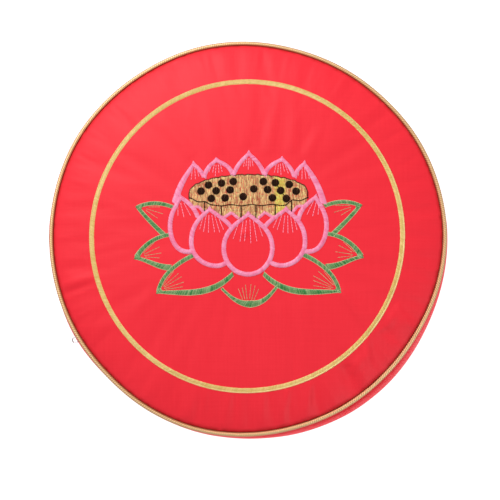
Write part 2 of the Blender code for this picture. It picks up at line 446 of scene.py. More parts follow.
def make_satin(name, light, dark, gloss):
    """Plain satin: crossed threads, a few slubs, an uneven tone, and a deeper red painted shade in its
    seams.
    """
    graph = Graph(name)
    cloth = graph.place("UV")
    threads = graph.crossed(cloth, 60.0, 2400.0, 2.0)
    slubs = graph.between(graph.crossed(cloth, 22.0, 620.0, 1.0), 0.6, 1.4)
    drift = graph.between(graph.noise(graph.place(), 7.0), 0.25, 0.75)
    tint = graph.mix(graph.math("MULTIPLY", graph.math("ADD", slubs, drift), 0.5), dark, light)
    return graph.finish(
        # Painted shade: the cloth turns deeper red where it runs into the seams.
        Base_Color=graph.mix(graph.attribute("painted_crease_shade"), tint, (0.50, 0.007, 0.005)),
        Roughness=0.46,
        Specular_IOR_Level=gloss,
        Sheen_Weight=0.03,
        Sheen_Roughness=0.4,
        Sheen_Tint=(1.0, 0.4, 0.4),
        Normal=graph.bump(threads, 0.35, 0.0002),
    )


def make_cord_material(name):
    """Twisted gold cord: pale on its crowns, with painted shade of brown between them and of red-brown on
    its flanks.
    """
    graph = Graph(name)
    fibres = graph.noise(graph.place("UV"), 1.0, 2.0, (9000.0, 900.0, 1.0))
    crown = graph.mix(graph.between(fibres, 0.3, 0.7), (0.82, 0.53, 0.20), (1.0, 0.83, 0.47))
    # Painted shade: the grooves between the strands turn brown, the deeper the darker.
    ribbed = graph.mix(graph.attribute("depth"), crown, (0.36, 0.16, 0.04))
    return graph.finish(
        # Painted shade: the cord's flanks turn red-brown where they lie in shadow.
        Base_Color=graph.mix(graph.attribute("painted_flank_shade"), ribbed, (0.42, 0.065, 0.022)),
        Roughness=0.42,
        Metallic=0.35,
        Specular_IOR_Level=0.4,
        Normal=graph.bump(fibres, 0.3, 0.0001),
    )


def make_thread_material(name, dye, roughness=0.36, gloss=0.6):
    """Glossy embroidery thread: its tone comes from each stitch, and a little from its spun fibres."""
    graph = Graph(name)
    spun = graph.noise(graph.place(), 1.0, 2.0, (1500.0, 1500.0, 400.0))
    fibres = graph.math("MULTIPLY", graph.between(spun, 0.3, 0.7), 0.3)
    tone = graph.math("SUBTRACT", graph.math("ADD", graph.attribute("shade"), fibres), 0.15)
    return graph.finish(
        Base_Color=graph.mix(tone, *dye),
        Roughness=roughness,
        Specular_IOR_Level=gloss,
        Sheen_Weight=0.3 * gloss,
        Sheen_Roughness=0.3,
        Normal=graph.bump(spun, 0.25, 0.0001),
    )


def make_pod_material(name):
    """Old-gold thread with orange and brown streaks, and one yellower length of thread at the right."""
    graph = Graph(name)
    place = graph.place()
    shade = graph.math("MULTIPLY", graph.attribute("shade"), 0.7)
    streaks = graph.between(graph.noise(place, 1.0, 2.0, (420.0, 90.0, 90.0)), 0.3, 0.7)
    tone = graph.math("ADD", shade, graph.math("MULTIPLY", streaks, 0.3))
    past = graph.math("SUBTRACT", graph.add("ShaderNodeSeparateXYZ", "X", Vector=place), YELLOW_X * MM)
    far = graph.math("MULTIPLY", graph.math("ABSOLUTE", past, 0.0), 150.0)
    near = graph.between(graph.math("SUBTRACT", 1.0, far), 0.0, 0.5)
    tint = graph.mix(near, graph.mix(tone, *POD_DYE), graph.mix(tone, *YELLOW_DYE))
    return graph.finish(Base_Color=tint, Roughness=0.42, Specular_IOR_Level=0.5, Sheen_Weight=0.15)


def make_nickel(name):
    graph = Graph(name)
    scuffs = graph.noise(graph.place(), 900.0, 3.0)
    return graph.finish(
        Base_Color=graph.mix(scuffs, (0.42, 0.36, 0.38), (0.62, 0.56, 0.58)),
        Metallic=1.0,
        Roughness=0.3,
        Normal=graph.bump(scuffs, 0.1, 0.0001),
    )


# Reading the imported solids


def stations_of(node, choose):
    """For each station around the cushion, choose(radii, heights) of a node's points there."""
    gathered = [([], []) for _ in range(RING_STATIONS)]
    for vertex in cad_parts[node].data.vertices:
        place = vertex.co / MM
        turn = degrees(atan2(place.y, place.x)) % 360.0
        radii, heights = gathered[round(turn * RING_STATIONS / 360.0) % RING_STATIONS]
        radii.append(place.xy.length)
        heights.append(place.z)
    return [choose(radii, heights) for radii, heights in gathered]


def middle_of(radii, heights):
    return ((min(radii) + max(radii)) / 2, (min(heights) + max(heights)) / 2)


def fullest_of(radii, heights):
    """The side band's radius at half the cushion's height, where it is fullest."""
    half = max(heights) / 2
    outer = [(abs(height - half), radius) for height, radius in zip(heights, radii) if radius >= GRID_RADIUS]
    return (min(outer, key=lambda pair: pair[0])[1], 0.0)


def mean_of(rows):
    return [sum(values) / len(values) for values in zip(*rows)]


def read_ring(rows, angle_deg):
    """A ring's radius and height at any angle, between its stations."""
    place = (angle_deg % 360.0) * len(rows) / 360.0
    first = int(place)
    share = place - first
    start = rows[first % len(rows)]
    end = rows[(first + 1) % len(rows)]
    return tuple(a + (b - a) * share for a, b in zip(start, end))


UPPER_RING = stations_of("top_piping", middle_of)
LOWER_RING = stations_of("bottom_piping", middle_of)
BAND_RING = stations_of("cushion", fullest_of)
UPPER_MEAN = mean_of(UPPER_RING)
LOWER_MEAN = mean_of(LOWER_RING)
BULGE_MEAN = mean_of(BAND_RING)[0]
TOP_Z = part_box("cushion")[1].z / MM
CORD_RADIUS = (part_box("bottom_piping")[1].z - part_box("bottom_piping")[0].z) / 2 / MM


# Making objects


def add_object(name, data, *materials):
    for material in materials:
        data.materials.append(material)
    made = bpy.data.objects.new(name, data)
    bpy.context.scene.collection.objects.link(made)
    return made


def mesh_from(shape, name):
    data = bpy.data.meshes.new(name)
    shape.to_mesh(data)
    shape.free()
    data.shade_smooth()
    return data


def evaluated_mesh(piece):
    """A piece's mesh with its modifiers applied."""
    return bpy.data.meshes.new_from_object(piece.evaluated_get(bpy.context.evaluated_depsgraph_get()))


def to_metres(shape):
    """Bring a shape from millimetres to metres, and turn its faces outwards."""
    bmesh.ops.scale(shape, verts=shape.verts, vec=(MM, MM, MM))
    bmesh.ops.recalc_face_normals(shape, faces=shape.faces)


# Cover


def groove_rows(mean, side):
    """The cloth wrapped round a cord's inner side; side is 1 for the upper cord and -1 for the lower."""
    rows = []
    for row in range(GROOVE_ROWS + 1):
        angle = radians(GROOVE_START_DEG + (GROOVE_END_DEG - GROOVE_START_DEG) * row / GROOVE_ROWS)
        rows.append((mean[0] + GROOVE_RADIUS * cos(angle), mean[1] + side * GROOVE_RADIUS * sin(angle)))
    return rows


def crown_height(radius):
    """The panel's height at a radius, on a crown that falls faster towards the seam."""
    edge_radius, edge_z = groove_rows(UPPER_MEAN, 1)[0]
    share = min(radius / edge_radius, 1.0)
    return edge_z + (TOP_Z - edge_z) * (1.0 - share ** CROWN_SPREAD) ** CROWN_FULLNESS


def cover_rows():
    """The half section between the round grids of the top and the underside: radius, height and painted
    shade.
    """
    upper = groove_rows(UPPER_MEAN, 1)
    lower = groove_rows(LOWER_MEAN, -1)
    crown = []
    for row in range(1, RIM_ROWS):
        share = 1.0 - (1.0 - row / RIM_ROWS) ** RIM_CLOSENESS
        radius = GRID_RADIUS + (upper[0][0] - GRID_RADIUS) * share
        crown.append((radius, crown_height(radius)))
    band = []
    middle_z = (upper[-1][1] + lower[-1][1]) / 2
    half = (upper[-1][1] - lower[-1][1]) / 2
    for row in range(1, BAND_ROWS):
        angle = radians(90.0 - 180.0 * row / BAND_ROWS)
        reach = upper[-1][0] + (BULGE_MEAN - upper[-1][0]) * cos(angle)
        band.append((reach, middle_z + half * sin(angle)))
    under = []
    for radius in UNDERSIDE_RADII:
        share = max(0.0, (radius - REST_RADIUS) / (lower[0][0] - REST_RADIUS))
        under.append((radius, lower[0][1] * share ** UNDERSIDE_CURVE))
    plain_band = (0.0,) * (len(band) - 2 * len(BAND_LIP_SHADES))
    in_groove = (GROOVE_SHADE,) * len(upper)
    shades = (0.0,) * (len(crown) - 1) + (PANEL_LIP_SHADE,) + in_groove + BAND_LIP_SHADES + plain_band
    shades += BAND_LIP_SHADES[::-1] + in_groove + (PANEL_LIP_SHADE,) + (0.0,) * (len(under) - 1)
    return [(*row, shade) for row, shade in zip(crown + upper + band + lower[::-1] + under, shades)]


def round_grid(shape, height):
    """A square grid bent to a disc, so that the cloth's threads run square and no point is crowded."""
    made = bmesh.ops.create_grid(shape, x_segments=GRID_CELLS, y_segments=GRID_CELLS, size=1.0)
    for corner in made["verts"]:
        x, y = corner.co.xy
        reach = max(abs(x), abs(y))
        turn = pi / 4 * (y / x if abs(x) >= abs(y) else 2.0 - x / y) if reach else 0.0
        side = 1.0 if (x if abs(x) >= abs(y) else y) >= 0.0 else -1.0
        radius = side * reach * GRID_RADIUS
        corner.co = (radius * cos(turn), radius * sin(turn), height(abs(radius)))
    return made["verts"]


def fold_height(x, y, rows):
    """Height of the soft folds at a place on the panel."""
    total = 0.0
    for start_x, start_y, along_x, along_y, length, width, height in rows:
        along = (x - start_x) * along_x + (y - start_y) * along_y
        if -FOLD_RUN_UP < along < length:
            spread = ((y - start_y) * along_x - (x - start_x) * along_y) / width
            if abs(spread) < 1.0:
                share = (along + FOLD_RUN_UP) / (length + FOLD_RUN_UP)
                total += height * (0.5 + 0.5 * cos(pi * spread)) * sin(pi * share ** FOLD_LEAN)
    return total


def band_fullness(height):
    """How full the band is at a height: 1 midway between its grooves, 0 at them and beyond."""
    top = groove_rows(UPPER_MEAN, 1)[-1][1]
    foot = groove_rows(LOWER_MEAN, -1)[-1][1]
    share = (2.0 * height - top - foot) / (top - foot)
    return max(0.0, 1.0 - share ** 2) ** 0.5


def seam_settled(point):
    """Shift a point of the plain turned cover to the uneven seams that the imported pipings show."""
    radius = point.xy.length
    if radius < REST_RADIUS - RIM_FADE:
        return point
    angle_deg = degrees(atan2(point.y, point.x))
    reach = smooth_step(1.0 - (UPPER_MEAN[0] - radius) / RIM_FADE)
    up_share = smooth_step((point.z - LOWER_MEAN[1]) / (UPPER_MEAN[1] - LOWER_MEAN[1]))
    upper = read_ring(UPPER_RING, angle_deg)
    upper_out = upper[0] - UPPER_MEAN[0]
    lower_out = read_ring(LOWER_RING, angle_deg)[0] - LOWER_MEAN[0]
    bulge_out = read_ring(BAND_RING, angle_deg)[0] - BULGE_MEAN - (upper_out + lower_out) / 2
    bulge_out += BAND_PROUD * low_side_share(angle_deg)
    out = reach * (up_share * upper_out + (1.0 - up_share) * lower_out) + bulge_out * band_fullness(point.z)
    lift = reach * up_share * (upper[1] - UPPER_MEAN[1])
    return Vector((*(point.xy * ((radius + out) / radius)), point.z + lift))


def uneven_wave(count, seed):
    """A smooth closed wave round the rim, with about count crests of uneven size."""
    draw = random.Random(seed)
    parts = []
    for layer in range(WAVE_LAYERS):
        crests = round(count * (0.62 + 0.38 * layer) + draw.uniform(-5, 5))
        parts.append((crests, draw.uniform(0, 2 * pi), draw.uniform(0.5, 1.0)))
    slow = [(draw.randint(3, 9), draw.uniform(0, 2 * pi)) for _ in range(2)]

    def wave(angle_deg):
        angle = radians(angle_deg)
        strength = 0.65 + 0.35 * sin(slow[0][0] * angle + slow[0][1]) * sin(slow[1][0] * angle + slow[1][1])
        total = sum(size * sin(crests * angle + phase) for crests, phase, size in parts)
        return strength * total / WAVE_LAYERS

    return wave


def lay_out_cloth(shape):
    """Give the panels a flat weave and the band one that runs around, and their material slots."""
    weave = shape.loops.layers.uv.new("weave")
    around = UPPER_MEAN[0] * MM
    for face in shape.faces:
        middle = face.calc_center_median()
        in_height = LOWER_MEAN[1] - 1.0 < middle.z / MM < UPPER_MEAN[1] - 1.0
        on_band = in_height and middle.xy.length / MM > UPPER_MEAN[0] - 3.5
        face.material_index = 1 if on_band else 0
        start = atan2(middle.y, middle.x)
        for loop in face.loops:
            place = loop.vert.co
            turn = (atan2(place.y, place.x) - start + pi) % (2 * pi) - pi
            loop[weave].uv = (around * (start + turn), place.z) if on_band else place.xy


def sewn_cover():
    """Two round panels and the rows of cloth from one to the other, settled on the uneven seams."""
    shape = bmesh.new()
    painted_crease_shade = shape.verts.layers.float.new("painted_crease_shade")
    ring = shape.verts.layers.int.new("ring")
    for corner in round_grid(shape, crown_height):
        corner[ring] = round(corner.co.xy.length / GRID_RADIUS * GRID_CELLS / 2)
    edge = [side for side in shape.edges if side.is_boundary]
    pucker = uneven_wave(PUCKER_COUNT, SEED + 3)
    for count, (radius, height, shade) in enumerate(cover_rows()):
        made = bmesh.ops.extrude_edge_only(shape, edges=edge)["geom"]
        edge = [part for part in made if isinstance(part, bmesh.types.BMEdge)]
        for corner in {corner for side in edge for corner in side.verts}:
            corner.co = (*(corner.co.xy.normalized() * radius), height)
            # Painted shade of the seams, patchy along the rim as in small puckers
            unevenness = PUCKER_STRENGTH * pucker(degrees(atan2(corner.co.y, corner.co.x)))
            corner[painted_crease_shade] = shade * (PUCKER_LEAST + unevenness)
            corner[ring] = GRID_CELLS + count
    round_grid(shape, lambda radius: 0.0)
    bmesh.ops.remove_doubles(shape, verts=shape.verts, dist=0.01)
    for corner in shape.verts:
        corner.co = seam_settled(corner.co)
    to_metres(shape)
    lay_out_cloth(shape)
    return shape


def is_sewn(place):
    """True where the cloth is held: in both seams, and under the cushion where it rests."""
    from_seam = place.xy.length / MM - UPPER_MEAN[0]
    height = place.z / MM
    in_seam = -HELD_IN < from_seam < HELD_OUT and abs(height - UPPER_MEAN[1]) < HELD_UP
    return in_seam or height < LOWER_MEAN[1] + GROOVE_RADIUS


def let_cloth_settle(cover):
    """Blow the cover up in a cloth simulation, held at its seams, and keep the wrinkles that this gives.

    The filling's even swell is taken off again ring by ring, as the section has its full height already.
    """
    rest = [vertex.co.copy() for vertex in cover.data.vertices]
    rings = [value.value for value in cover.data.attributes["ring"].data]
    held = cover.vertex_groups.new(name="held")
    held.add([index for index, place in enumerate(rest) if is_sewn(place)], 1.0, "REPLACE")
    cloth = cover.modifiers.new("cloth", "CLOTH")
    for name, value in CLOTH_SETTINGS.items():
        setattr(cloth.settings, name, value)
    cloth.settings.vertex_group_mass = "held"
    cloth.settings.effector_weights.gravity = 0.0
    cloth.collision_settings.use_collision = False
    cloth.collision_settings.use_self_collision = False
    cloth.point_cache.frame_end = CLOTH_FRAMES
    for step in range(1, CLOTH_FRAMES + 1):
        bpy.context.scene.frame_set(step)
    settled = evaluated_mesh(cover)
    cover.modifiers.clear()
    cover.vertex_groups.clear()
    cover.data = settled
    bpy.context.scene.frame_set(1)
    swell = {}
    for vertex, start, ring in zip(settled.vertices, rest, rings):
        moved = vertex.co - start
        total = swell.setdefault(ring, [0.0, 0.0, 0])
        total[0] += moved.xy.dot(start.xy.normalized())
        total[1] += moved.z
        total[2] += 1
    for vertex, start, ring in zip(settled.vertices, rest, rings):
        outward, upward, count = swell[ring]
        even = Vector((*(start.xy.normalized() * outward / count), upward / count))
        moved = (vertex.co - start - even) * WRINKLE_STRENGTH
        if moved.length > CLOTH_CAP * MM:
            moved *= CLOTH_CAP * MM / moved.length
        vertex.co = start + moved


def round_off(piece):
    """Subdivide a piece once and keep the result."""
    modifier = piece.modifiers.new("round_off", "SUBSURF")
    modifier.levels = 1
    modifier.render_levels = 1
    finer = evaluated_mesh(piece)
    piece.modifiers.clear()
    piece.data = finer


def add_folds(cover):
    """Press the soft folds and ripples into the panel and the small gathers into the band."""
    rows = [(x, y, cos(radians(turn)), sin(radians(turn)), *sizes) for x, y, turn, *sizes in FOLDS]
    upper_wave = uneven_wave(GATHER_COUNT, SEED)
    lower_wave = uneven_wave(GATHER_COUNT, SEED + 1)
    ripple = uneven_wave(RIPPLE_COUNT, SEED + 2)
    panel_edge = UPPER_MEAN[0] - GROOVE_RADIUS
    for vertex in cover.data.vertices:
        place = vertex.co / MM
        radius = place.xy.length
        angle_deg = degrees(atan2(place.y, place.x))
        if place.z > UPPER_MEAN[1] and radius < panel_edge - 0.5:
            from_edge = panel_edge - radius
            fine = RIPPLE_HEIGHT * sin(pi * min(1.0, from_edge / RIPPLE_REACH) ** 0.6) * ripple(angle_deg)
            vertex.co.z += (fold_height(place.x, place.y, rows) * smooth_step(from_edge / 4.0) + fine) * MM
        elif radius > UPPER_MEAN[0] - 1.0:
            wave = upper_wave if place.z > (UPPER_MEAN[1] + LOWER_MEAN[1]) / 2 else lower_wave
            from_seam = min(abs(UPPER_MEAN[1] - place.z), abs(place.z - LOWER_MEAN[1]))
            fade = sin(pi * min(1.0, from_seam / GATHER_REACH) ** 0.5)
            out = GATHER_HEIGHT * fade * wave(angle_deg)
            vertex.co.xy = vertex.co.xy * ((radius + out) / radius)


def make_cover(panel, band):
    cover = add_object("cover", mesh_from(sewn_cover(), "cover"), panel, band)
    let_cloth_settle(cover)
    cover.data.attributes.remove(cover.data.attributes["ring"])
    round_off(cover)
    add_folds(cover)
    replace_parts(cover, "cushion")
    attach(cover, ROOT)
    return cover


# Piping


def painted_cord_shade(angle_deg, around):
    """The cord's painted shade: outside, inside too at the lower right, along its seam elsewhere, and a
    little all round away from the lower right.
    """
    turned = low_side_share(angle_deg)
    outer = smooth_step((cos(around) - 0.5) / 0.35) * (0.9 - 0.25 * turned)
    inner = smooth_step((0.15 - cos(around)) / 0.4) * 0.65 * turned
    seam = (smooth_step((-cos(around) - 0.3) / 0.3) * 0.7 + 0.16) * (1.0 - turned)
    return outer + inner + seam


def make_piping(name, ring, material):
    """A cord of twisted strands in a seam's groove: a grid rolled into a ring with winding ridges."""
    length = 2 * pi * mean_of(ring)[0]
    ribs = round(length / CORD_RIB_PITCH)
    shape = bmesh.new()
    depth = shape.verts.layers.float.new("depth")
    painted_flank_shade = shape.verts.layers.float.new("painted_flank_shade")
    fibre = shape.loops.layers.uv.new("fibre")
    steps = ribs * CORD_STEPS_PER_RIB
    bmesh.ops.create_grid(shape, x_segments=steps, y_segments=CORD_SIDES, size=0.5, calc_uvs=True)
    for corner in shape.verts:
        angle = 2 * pi * (corner.co.x + 0.5)
        around = 2 * pi * (corner.co.y + 0.5)
        # depth sinks the grooves between the strands and also sets their painted shade in the material
        corner[depth] = 1.0 - abs(cos((CORD_STRANDS * around - ribs * angle) / 2)) ** CORD_ROUNDNESS
        # How much painted shade the cord's flanks get here
        corner[painted_flank_shade] = painted_cord_shade(degrees(angle), around)
        size = CORD_RADIUS * (1.0 - CORD_GROOVE * corner[depth])
        radius, height = read_ring(ring, degrees(angle))
        reach = radius + size * cos(around)
        corner.co = (reach * cos(angle), reach * sin(angle), height + size * sin(around))
    for face in shape.faces:
        for loop in face.loops:
            share = loop[fibre].uv
            loop[fibre].uv = (share.x * length * MM, share.y * 2 * pi * CORD_RADIUS * MM)
    bmesh.ops.remove_doubles(shape, verts=shape.verts, dist=0.01)
    to_metres(shape)
    piece = add_object(name, mesh_from(shape, name), material)
    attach(piece, ROOT)
    return piece


# Pull


def make_pull(material):
    """The pull's wire ring, a smooth round wire along the solid's own middle line."""
    low, high = (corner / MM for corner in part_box("pull_ring"))
    middle = (low + high) / 2
    places = [vertex.co.xy / MM - middle.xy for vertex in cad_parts["pull_ring"].data.vertices]
    wire = (high.z - low.z) / 2
    reaches = []
    for step in range(WIRE_STEPS):
        angle = 2 * pi * step / WIRE_STEPS
        toward = Vector((cos(angle), sin(angle)))
        reaches.append(max(place.dot(toward) for place in places) - wire)
    shape = bmesh.new()
    bmesh.ops.create_circle(shape, segments=WIRE_SIDES, radius=wire)
    upright = Matrix.Translation((WIRE_START, 0.0, 0.0)) @ Matrix.Rotation(pi / 2, 4, "X")
    bmesh.ops.transform(shape, matrix=upright, verts=shape.verts)
    bmesh.ops.spin(
        shape,
        geom=shape.verts[:] + shape.edges[:],
        axis=(0.0, 0.0, 1.0),
        cent=(0.0, 0.0, 0.0),
        angle=2 * pi,
        steps=WIRE_STEPS,
        use_merge=True,
    )
    bmesh.ops.remove_doubles(shape, verts=shape.verts, dist=0.001)
    for corner in shape.verts:
        angle = atan2(corner.co.y, corner.co.x) % (2 * pi)
        reach = reaches[round(angle * WIRE_STEPS / (2 * pi)) % WIRE_STEPS] + corner.co.xy.length - WIRE_START
        corner.co = (*onward(middle, angle, reach), middle.z + corner.co.z)
    to_metres(shape)
    piece = add_object("wire_pull", mesh_from(shape, "wire_pull"), material)
    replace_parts(piece, "pull_ring")
    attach(piece, ROOT)


# Embroidery


def sample_stitch(material):
    """A stitch of unit length, width and height: an arched thread whose ends go into the cloth."""
    shape = bmesh.new()
    bmesh.ops.create_cone(shape, cap_ends=True, segments=4, radius1=0.5, radius2=0.5, depth=1.0)
    long_edges = [edge for edge in shape.edges if abs(edge.verts[0].co.z - edge.verts[1].co.z) > 0.5]
    bmesh.ops.subdivide_edges(shape, edges=long_edges, cuts=3, use_grid_fill=True)
    bmesh.ops.rotate(shape, verts=shape.verts, cent=(0, 0, 0), matrix=Matrix.Rotation(pi / 2, 3, "Y"))
    for corner in shape.verts:
        x, y, z = corner.co
        is_end = abs(x) > 0.4
        is_shoulder = 0.1 < abs(x) < 0.4
        crown = 0.0 if is_end else 0.8 if is_shoulder else 1.0
        corner.co.x = x * STITCH_SHOULDER * 4 if is_shoulder else x
        corner.co.y = y * (0.7 if is_end else 0.95)
        corner.co.z = (1.2 * crown - 0.2) if z > 0.25 else (0.6 * crown - 0.3) if z > -0.25 else -0.4
    bmesh.ops.recalc_face_normals(shape, faces=shape.faces)
    data = mesh_from(shape, "sample_stitch")
    data.materials.append(material)
    return bpy.data.objects.new("sample_stitch", data)


def sewing_nodes(sample):
    """Geometry nodes that set the sample stitch on every point, turned and sized as the point says."""
    tree = bpy.data.node_groups.new("sewing", "GeometryNodeTree")
    tree.interface.new_socket("Places", in_out="INPUT", socket_type="NodeSocketGeometry")
    tree.interface.new_socket("Stitches", in_out="OUTPUT", socket_type="NodeSocketGeometry")
    places = tree.nodes.new("NodeGroupInput")
    stitches = tree.nodes.new("NodeGroupOutput")
    thread = tree.nodes.new("GeometryNodeObjectInfo")
    thread.inputs["Object"].default_value = sample
    sew = tree.nodes.new("GeometryNodeInstanceOnPoints")
    realize = tree.nodes.new("GeometryNodeRealizeInstances")
    tree.links.new(places.outputs["Places"], sew.inputs["Points"])
    tree.links.new(thread.outputs["Geometry"], sew.inputs["Instance"])
    for name, socket in (("turn", "Rotation"), ("size", "Scale")):
        stored = tree.nodes.new("GeometryNodeInputNamedAttribute")
        stored.data_type = "FLOAT_VECTOR"
        stored.inputs["Name"].default_value = name
        tree.links.new(stored.outputs["Attribute"], sew.inputs[socket])
    tree.links.new(sew.outputs["Instances"], realize.inputs["Geometry"])
    tree.links.new(realize.outputs["Geometry"], stitches.inputs["Stitches"])
    return tree


class Needle:
    """Sews single raised stitches onto the cover; they become one mesh when the piece is finished."""

    def __init__(self, cloth, name):
        self.cloth = cloth
        self.name = name
        self.draw = random.Random(SEED + len(name))
        self.places = bmesh.new()
        self.turn = self.places.verts.layers.float_vector.new("turn")
        self.size = self.places.verts.layers.float_vector.new("size")
        self.shade = self.places.verts.layers.float.new("shade")

    def uneven(self, most):
        """A random amount, up to most, either way."""
        return self.draw.uniform(-most, most)

    def on_cloth(self, place):
        """Where the cloth lies at a place of the flower's frame, and its normal there."""
        above = Vector(((FLOWER_SHIFT[0] + place[0]) * MM, (FLOWER_SHIFT[1] + place[1]) * MM, 0.2))
        return self.cloth.ray_cast(above, Vector((0.0, 0.0, -1.0)))[:2]

    def stitch(self, start, end, shade, width=THREAD_WIDTH, height=THREAD_HEIGHT, lift=0.0):
        """Sew one stitch between two places of the flower's frame."""
        first, first_up = self.on_cloth(start)
        last, last_up = self.on_cloth(end)
        along = last - first
        across = (first_up + last_up).cross(along).normalized()
        up = along.cross(across).normalized()
        place = self.places.verts.new((first + last) / 2 + up * lift * MM)
        place[self.turn] = Matrix((along.normalized(), across, up)).transposed().to_euler()
        place[self.size] = (along.length, width * MM, height * MM)
        place[self.shade] = shade

    def satin(self, line, slant_deg=STITCH_SLANT_DEG, hidden=None, lift=0.0, streaky=0.5, flecked=FLECKS):
        """Cover a line of (x, y, width, shade) with stitches side by side, slanting across it."""
        slant = radians(slant_deg)
        streak = 0.0
        for x, y, heading, width, shade in walked(line, THREAD_PITCH):
            if self.draw.random() < STREAK_CHANCE:
                streak = self.uneven(STREAK_STRENGTH)
            if hidden and hidden(x, y):
                continue
            turn = heading + pi / 2 - slant
            half = width / 2 / cos(slant) + self.uneven(SATIN_EDGE_UNEVENNESS)
            tone = shade + streaky * streak + self.uneven(flecked)
            self.stitch(onward((x, y), turn, -half), onward((x, y), turn, half), tone, lift=lift)

    def running(self, line, dash, gap, shade, width, height, hidden=None, lift=0.0):
        """Sew a thin line of single stitches, one after another."""
        for x, y, heading, _, _ in walked([(*place, 0.0, 0.0) for place in line], dash + gap):
            if hidden and hidden(x, y):
                continue
            half = dash / 2 + self.uneven(DASH_UNEVENNESS)
            tone = shade + self.uneven(DASH_FLECKS)
            ends = (onward((x, y), heading, -half), onward((x, y), heading, half))
            self.stitch(*ends, tone, width, height, lift)

    def finish(self, material, slot):
        holder = add_object("places", mesh_from(self.places, "places"))
        sample = sample_stitch(material)
        modifier = holder.modifiers.new("sewing", "NODES")
        modifier.node_group = sewing_nodes(sample)
        stitches = evaluated_mesh(holder)
        for name in ("turn", "size"):
            stitches.attributes.remove(stitches.attributes[name])
        bpy.data.objects.remove(holder)
        bpy.data.objects.remove(sample)
        piece = add_object(self.name, stitches)
        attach(piece, ROOT)


def walked(line, pitch):
    """Even steps along a line of (x, y, width, shade): each gives x, y, heading, width and shade."""
    left = pitch / 2
    for start, end in zip(line, line[1:]):
        length = hypot(end[0] - start[0], end[1] - start[1])
        heading = atan2(end[1] - start[1], end[0] - start[0])
        while left < length:
            share = left / length
            x, y, width, shade = (a + (b - a) * share for a, b in zip(start, end))
            yield x, y, heading, width, shade
            left += pitch
        left -= length


def curve(start, leave_deg, leave, end, arrive_deg, arrive, steps):
    """A smooth line between two places, given how it leaves and arrives: the directions and their pulls."""
    second = onward(start, radians(leave_deg), leave)
    corners = (start, second, onward(end, radians(arrive_deg), -arrive), end)
    places = []
    for step in range(steps + 1):
        t = step / steps
        shares = ((1 - t) ** 3, 3 * t * (1 - t) ** 2, 3 * t * t * (1 - t), t ** 3)
        places.append([sum(share * value for share, value in zip(shares, axis)) for axis in zip(*corners)])
    return places


def bent_line(start, leave_deg, end, arrive_deg):
    """A smooth line whose two pulls suit the distance between its ends."""
    pull = CURVE_PULL * hypot(end[0] - start[0], end[1] - start[1])
    return curve(start, leave_deg, pull, end, arrive_deg, pull, CURVE_STEPS)


def widened(line, start_width, end_width, power=1.0):
    """Give a petal's line a width that runs from one value to another, and its tone."""
    last = len(line) - 1
    points = []
    for step, place in enumerate(line):
        width = start_width + (end_width - start_width) * (step / last) ** power
        points.append((*place, width, PETAL_SHADE))
    return points


def front_sides(row):
    """A front petal's outline in four parts: up its left side, down its right side, and round its foot."""
    _, tip, left_deg, right_deg, left_x, right_x, side_y, foot = row
    left = (left_x, side_y)
    right = (right_x, side_y)
    return (
        bent_line(left, 90, tip, 90 - left_deg),
        bent_line(tip, right_deg - 90, right, -90),
        bent_line(right, -90, foot, 180),
        bent_line(foot, 180, left, 90),
    )


def petal_outline(row):
    """A front petal's closed outline, grown outwards to where its stitches hide what lies behind."""
    left_x, right_x, side_y = row[4:7]
    middle = ((left_x + right_x) / 2, side_y)
    scale = 1.0 + 2.0 * OUTLINE_WIDTH * HIDING_SHARE / (right_x - left_x)
    places = [place for side in front_sides(row) for place in side]
    return [(middle[0] + scale * (x - middle[0]), middle[1] + scale * (y - middle[1])) for x, y in places]


def tip_wedge(tip, left_deg, right_deg):
    """The sharp point in which two sides meet, stitched across its own middle line."""
    heading = radians(90.0 - (left_deg - right_deg) / 2)
    half = radians((left_deg + right_deg) / 2)
    length = TIP_WIDTH / 2 / sin(half) + TIP_REACH
    points = []
    for share, fullness in ((0.0, 1.0), (0.35, 0.6), (0.96, 0.06)):
        points.append((*onward(tip, heading, share * length), fullness * TIP_WIDTH / cos(half), PETAL_SHADE))
    return points


def is_inside(outline, x, y):
    crossed = False
    for start, end in zip(outline, outline[1:]):
        if (start[1] > y) != (end[1] > y):
            if x < start[0] + (y - start[1]) * (end[0] - start[0]) / (end[1] - start[1]):
                crossed = not crossed
    return crossed


def behind(outlines):
    """A test that is true for a place covered by one of the outlines."""
    return lambda x, y: any(is_inside(outline, x, y) for outline in outlines)


def peak_corners():
    """The peaks' corners, on both sides of the flower."""
    return [[(side * x, y) for x, y in row] for row in PEAKS for side in BOTH_SIDES]


def leaf_line(row, mirror):
    """A leaf's side, as a line of (x, y, width, shade)."""
    _, *ends, width0, width_mid, width1 = row
    points = []
    for step, (x, y) in enumerate(curve(*ends, LEAF_STEPS)):
        t = step / LEAF_STEPS
        width = (1 - t) ** 2 * width0 + 2 * t * (1 - t) * (2 * width_mid - (width0 + width1) / 2)
        points.append((mirror * x, y, width + t * t * width1, LEAF_SHADE))
    return points


def beside(line, side):
    """The places along one edge of a line of (x, y, width, shade)."""
    places = []
    for before, (x, y, width, shade), after in zip([line[0]] + line, line, line[1:] + [line[-1]]):
        heading = atan2(after[1] - before[1], after[0] - before[0])
        out = side * (width / 2 - LEAF_EDGE_INSET)
        places.append((x - out * sin(heading), y + out * cos(heading)))
    return places


def sew_fans(needle, vein):
    """Lines of one thread that fan out from near the tips, of uneven length."""
    draw = needle.draw
    for thread, tip, heading_deg, spread_deg, lines, length, root in FANS:
        if thread is not vein:
            continue
        middle = (lines - 1) / 2
        for side in BOTH_SIDES if tip[0] else (1.0,):
            for line in range(lines):
                share = (line - middle) / max(1.0, middle)
                angle = radians(heading_deg + share * spread_deg / 2 + needle.uneven(2.0))
                reach = length * (1.0 - 0.14 * abs(share) - draw.uniform(0.0, 0.08))
                skip = length * draw.uniform(0.1, 0.2)
                start = onward(tip, radians(heading_deg + 90.0), share * root)
                ends = (onward(start, angle, skip), onward(start, angle, reach))
                needle.running([(side * x, y) for x, y in ends], **vein)


